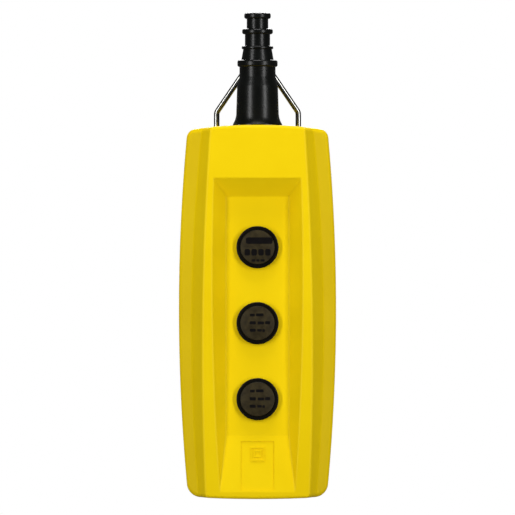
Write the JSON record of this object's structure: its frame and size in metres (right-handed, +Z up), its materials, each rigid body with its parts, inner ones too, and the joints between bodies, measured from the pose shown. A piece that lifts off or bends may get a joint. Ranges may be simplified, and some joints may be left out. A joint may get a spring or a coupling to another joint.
{
  "type": "pendant control station",
  "caption": "Hand-held pendant control station: tall bulged housing with a hooded recess of push-buttons, a stepped cable sleeve and a wire bail on top.",
  "frame": {"origin": "on the cable's axis, at the mouth of the cable sleeve", "axes": "+Z up along the hanging cable, -Y towards the operator who faces the buttons, +X to the operator's right"},
  "size_m": [0.112, 0.084, 0.3468],
  "materials": {
    "housing_plastic": "fine-textured moulded plastic",
    "button_plastic": "satin moulded plastic",
    "legend_plastic": "printed satin disc",
    "rubber": "matte moulded rubber",
    "wire": "zinc-plated wire",
    "fastener": "zinc-plated",
    "brass": "turned",
    "block_plastic": "moulded",
    "spring": "bright wire",
    "label": "blank foil"
  },
  "bodies": {
    "enclosure": {"rear_housing": "housing_plastic", "front_cover": "housing_plastic", "cover_seal": "rubber", "cover_screws": "fastener", "screw_washers": "rubber", "cover_inserts": "brass", "cable_sleeve": "rubber", "sleeve_clamp_plate": "fastener", "plate_screws": "fastener", "cable_saddle": "block_plastic", "saddle_screws": "fastener", "rating_label": "label", "button_bezel_1": "button_plastic", "bezel_gasket_1": "rubber", "bezel_nut_1": "button_plastic", "stem_seal_1": "rubber", "return_spring_1": "spring", "mounting_collar_1": "block_plastic", "contact_block_1": "block_plastic", "fixed_contacts_1": "brass", "terminal_screws_1": "fastener", "contact_spring_1": "spring", "button_bezel_2": "button_plastic", "bezel_gasket_2": "rubber", "bezel_nut_2": "button_plastic", "stem_seal_2": "rubber", "return_spring_2": "spring", "mounting_collar_2": "block_plastic", "contact_block_2": "block_plastic", "fixed_contacts_2": "brass", "terminal_screws_2": "fastener", "contact_spring_2": "spring", "button_bezel_3": "button_plastic", "bezel_gasket_3": "rubber", "bezel_nut_3": "button_plastic", "stem_seal_3": "rubber", "return_spring_3": "spring", "mounting_collar_3": "block_plastic", "contact_block_3": "block_plastic", "fixed_contacts_3": "brass", "terminal_screws_3": "fastener", "contact_spring_3": "spring"},
    "button_1": {"button_cap_1": "button_plastic", "button_legend_1": "legend_plastic"},
    "plunger_1": {"contact_plunger_1": "block_plastic", "bridge_contact_1": "brass"},
    "button_2": {"button_cap_2": "button_plastic", "button_legend_2": "legend_plastic"},
    "plunger_2": {"contact_plunger_2": "block_plastic", "bridge_contact_2": "brass"},
    "button_3": {"button_cap_3": "button_plastic", "button_legend_3": "legend_plastic"},
    "plunger_3": {"contact_plunger_3": "block_plastic", "bridge_contact_3": "brass"},
    "bail": {"suspension_bail": "wire"}
  },
  "joints": [
    {"name": "press_1", "type": "slide", "parent": "enclosure", "child": "button_1", "axis": [0, 1, 0], "range_m": [0, 0.004], "stiffness_N_per_m": 600, "springref_m": -0.004, "deforming": ["return_spring_1"]},
    {"name": "contact_1", "type": "slide", "parent": "enclosure", "child": "plunger_1", "axis": [0, 1, 0], "range_m": [0, 0.004], "stiffness_N_per_m": 150, "springref_m": -0.004, "deforming": ["contact_spring_1"]},
    {"name": "press_2", "type": "slide", "parent": "enclosure", "child": "button_2", "axis": [0, 1, 0], "range_m": [0, 0.004], "stiffness_N_per_m": 600, "springref_m": -0.004, "deforming": ["return_spring_2"]},
    {"name": "contact_2", "type": "slide", "parent": "enclosure", "child": "plunger_2", "axis": [0, 1, 0], "range_m": [0, 0.004], "stiffness_N_per_m": 150, "springref_m": -0.004, "deforming": ["contact_spring_2"]},
    {"name": "press_3", "type": "slide", "parent": "enclosure", "child": "button_3", "axis": [0, 1, 0], "range_m": [0, 0.004], "stiffness_N_per_m": 600, "springref_m": -0.004, "deforming": ["return_spring_3"]},
    {"name": "contact_3", "type": "slide", "parent": "enclosure", "child": "plunger_3", "axis": [0, 1, 0], "range_m": [0, 0.004], "stiffness_N_per_m": 150, "springref_m": -0.004, "deforming": ["contact_spring_3"]},
    {"name": "bail_swing", "type": "hinge", "parent": "enclosure", "child": "bail", "pos_m": [0, 0.017, -0.0958], "axis": [-1, 0, 0], "range_deg": [0, 28]}
  ],
  "couplings": [
    {"joint": "contact_1", "follows": "press_1", "ratio": 1},
    {"joint": "contact_2", "follows": "press_2", "ratio": 1},
    {"joint": "contact_3", "follows": "press_3", "ratio": 1}
  ]
}
